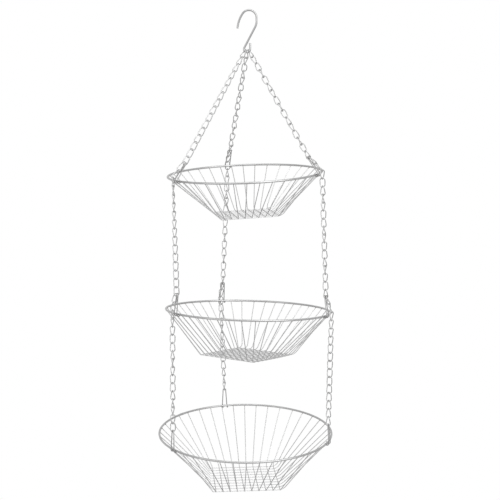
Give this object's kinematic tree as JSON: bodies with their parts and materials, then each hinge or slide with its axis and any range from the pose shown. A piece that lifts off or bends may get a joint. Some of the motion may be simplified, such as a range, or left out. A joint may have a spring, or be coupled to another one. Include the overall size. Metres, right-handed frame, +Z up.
{
  "type": "hanging fruit basket",
  "caption": "Three round wire baskets of rising size hung one under another by three twisted-link chains from an S-shaped hook.",
  "frame": {"origin": "the point inside the crown of the hook that rests on a peg, rail or ceiling hook", "axes": "+Z up along the hanging line, -Y towards the viewer, the plane of the hook is XZ"},
  "size_m": [0.2822, 0.282, 0.7603],
  "materials": {
    "hook_wire": "bright plated steel wire",
    "chain_wire": "bright plated steel links",
    "rim_wire": "bright plated heavy steel wire",
    "basket_wire": "plated thin steel wire, welded at the crossings",
    "clip_wire": "bright plated steel wire"
  },
  "bodies": {
    "hook": {"hook": "hook_wire"},
    "hook_links": {"hook_links": "chain_wire"},
    "top_basket": {"top_rim": "rim_wire", "top_long_wires": "basket_wire", "top_cross_wires": "basket_wire", "top_clip_left": "clip_wire", "top_clip_back": "clip_wire", "top_clip_right": "clip_wire", "top_rim_links_left": "chain_wire", "top_rim_links_back": "chain_wire", "top_rim_links_right": "chain_wire", "upper_chain_left": "chain_wire", "upper_chain_back": "chain_wire", "upper_chain_right": "chain_wire"},
    "middle_basket": {"middle_rim": "rim_wire", "middle_long_wires": "basket_wire", "middle_cross_wires": "basket_wire", "middle_clip_left": "clip_wire", "middle_clip_back": "clip_wire", "middle_clip_right": "clip_wire", "middle_rim_links_left": "chain_wire", "middle_rim_links_back": "chain_wire", "middle_rim_links_right": "chain_wire"},
    "bottom_basket": {"bottom_rim": "rim_wire", "bottom_long_wires": "basket_wire", "bottom_cross_wires": "basket_wire", "bottom_clip_left": "clip_wire", "bottom_clip_back": "clip_wire", "bottom_clip_right": "clip_wire"},
    "middle_first_link_left": {"middle_first_link_left": "chain_wire"},
    "middle_chain_left": {"middle_chain_left": "chain_wire"},
    "middle_last_link_left": {"middle_last_link_left": "chain_wire"},
    "middle_first_link_back": {"middle_first_link_back": "chain_wire"},
    "middle_chain_back": {"middle_chain_back": "chain_wire"},
    "middle_first_link_right": {"middle_first_link_right": "chain_wire"},
    "middle_chain_right": {"middle_chain_right": "chain_wire"},
    "bottom_first_link_back": {"bottom_first_link_back": "chain_wire"},
    "bottom_chain_back": {"bottom_chain_back": "chain_wire"},
    "bottom_last_link_back": {"bottom_last_link_back": "chain_wire"},
    "bottom_first_link_left": {"bottom_first_link_left": "chain_wire"},
    "bottom_chain_left": {"bottom_chain_left": "chain_wire"},
    "bottom_first_link_right": {"bottom_first_link_right": "chain_wire"},
    "bottom_chain_right": {"bottom_chain_right": "chain_wire"}
  },
  "joints": [
    {"name": "hook_swing", "type": "hinge", "parent": "hook", "child": "hook_links", "pos_m": [0, 0, -0.06202], "axis": [1, 0, 0], "range_deg": [-12, 12]},
    {"name": "top_sway", "type": "hinge", "parent": "hook_links", "child": "top_basket", "pos_m": [-0.00352, -0.00001, -0.07054], "axis": [0, 1, 0], "range_deg": [-3, 3]},
    {"name": "middle_swing", "type": "hinge", "parent": "top_basket", "child": "middle_first_link_left", "pos_m": [-0.11561, -0.07069, -0.25389], "axis": [1, 0, 0], "range_deg": [-8, 8]},
    {"name": "middle_sway", "type": "hinge", "parent": "middle_first_link_left", "child": "middle_chain_left", "pos_m": [-0.1153, -0.07086, -0.26683], "axis": [0, 1, 0], "range_deg": [-8, 8]},
    {"name": "middle_sway_return", "type": "hinge", "parent": "middle_chain_left", "child": "middle_last_link_left", "pos_m": [-0.1116, -0.07293, -0.42213], "axis": [0, 1, 0], "range_deg": [-8, 8]},
    {"name": "middle_swing_return", "type": "hinge", "parent": "middle_last_link_left", "child": "middle_basket", "pos_m": [-0.11129, -0.0731, -0.43507], "axis": [1, 0, 0], "range_deg": [-8, 8]},
    {"name": "middle_swing_back", "type": "hinge", "parent": "top_basket", "child": "middle_first_link_back", "pos_m": [-0.03601, 0.12604, -0.24051], "axis": [1, 0, 0], "range_deg": [-8, 8]},
    {"name": "middle_sway_back", "type": "hinge", "parent": "middle_first_link_back", "child": "middle_chain_back", "pos_m": [-0.03654, 0.12593, -0.2528], "axis": [0, 1, 0], "range_deg": [-8, 8]},
    {"name": "middle_swing_right", "type": "hinge", "parent": "top_basket", "child": "middle_first_link_right", "pos_m": [0.11256, -0.0512, -0.24409], "axis": [1, 0, 0], "range_deg": [-8, 8]},
    {"name": "middle_sway_right", "type": "hinge", "parent": "middle_first_link_right", "child": "middle_chain_right", "pos_m": [0.11303, -0.05111, -0.25648], "axis": [0, 1, 0], "range_deg": [-8, 8]},
    {"name": "bottom_swing", "type": "hinge", "parent": "middle_basket", "child": "bottom_first_link_back", "pos_m": [-0.04897, 0.13188, -0.47284], "axis": [1, 0, 0], "range_deg": [-8, 8]},
    {"name": "bottom_sway", "type": "hinge", "parent": "bottom_first_link_back", "child": "bottom_chain_back", "pos_m": [-0.04852, 0.13209, -0.48551], "axis": [0, 1, 0], "range_deg": [-8, 8]},
    {"name": "bottom_sway_return", "type": "hinge", "parent": "bottom_chain_back", "child": "bottom_last_link_back", "pos_m": [-0.04353, 0.13439, -0.62484], "axis": [0, 1, 0], "range_deg": [-8, 8]},
    {"name": "bottom_swing_return", "type": "hinge", "parent": "bottom_last_link_back", "child": "bottom_basket", "pos_m": [-0.04307, 0.13459, -0.6375], "axis": [1, 0, 0], "range_deg": [-8, 8]},
    {"name": "bottom_swing_left", "type": "hinge", "parent": "middle_basket", "child": "bottom_first_link_left", "pos_m": [-0.11771, -0.07797, -0.45759], "axis": [1, 0, 0], "range_deg": [-8, 8]},
    {"name": "bottom_sway_left", "type": "hinge", "parent": "bottom_first_link_left", "child": "bottom_chain_left", "pos_m": [-0.11774, -0.07827, -0.47025], "axis": [0, 1, 0], "range_deg": [-8, 8]},
    {"name": "bottom_swing_right", "type": "hinge", "parent": "middle_basket", "child": "bottom_first_link_right", "pos_m": [0.12896, -0.05225, -0.46529], "axis": [1, 0, 0], "range_deg": [-8, 8]},
    {"name": "bottom_sway_right", "type": "hinge", "parent": "bottom_first_link_right", "child": "bottom_chain_right", "pos_m": [0.12871, -0.05212, -0.47826], "axis": [0, 1, 0], "range_deg": [-8, 8]}
  ],
  "couplings": [
    {"joint": "middle_sway_return", "follows": "middle_sway", "ratio": -1},
    {"joint": "middle_swing_return", "follows": "middle_swing", "ratio": -1},
    {"joint": "middle_swing_back", "follows": "middle_swing", "ratio": 0.86683},
    {"joint": "middle_sway_back", "follows": "middle_sway", "ratio": 0.78943},
    {"joint": "middle_swing_right", "follows": "middle_swing", "ratio": 0.91378},
    {"joint": "middle_sway_right", "follows": "middle_sway", "ratio": 0.83545},
    {"joint": "bottom_sway_return", "follows": "bottom_sway", "ratio": -1},
    {"joint": "bottom_swing_return", "follows": "bottom_swing", "ratio": -1},
    {"joint": "bottom_swing_left", "follows": "bottom_swing", "ratio": 0.86732},
    {"joint": "bottom_sway_left", "follows": "bottom_sway", "ratio": 0.78631},
    {"joint": "bottom_swing_right", "follows": "bottom_swing", "ratio": 0.90758},
    {"joint": "bottom_sway_right", "follows": "bottom_sway", "ratio": 0.82702}
  ]
}
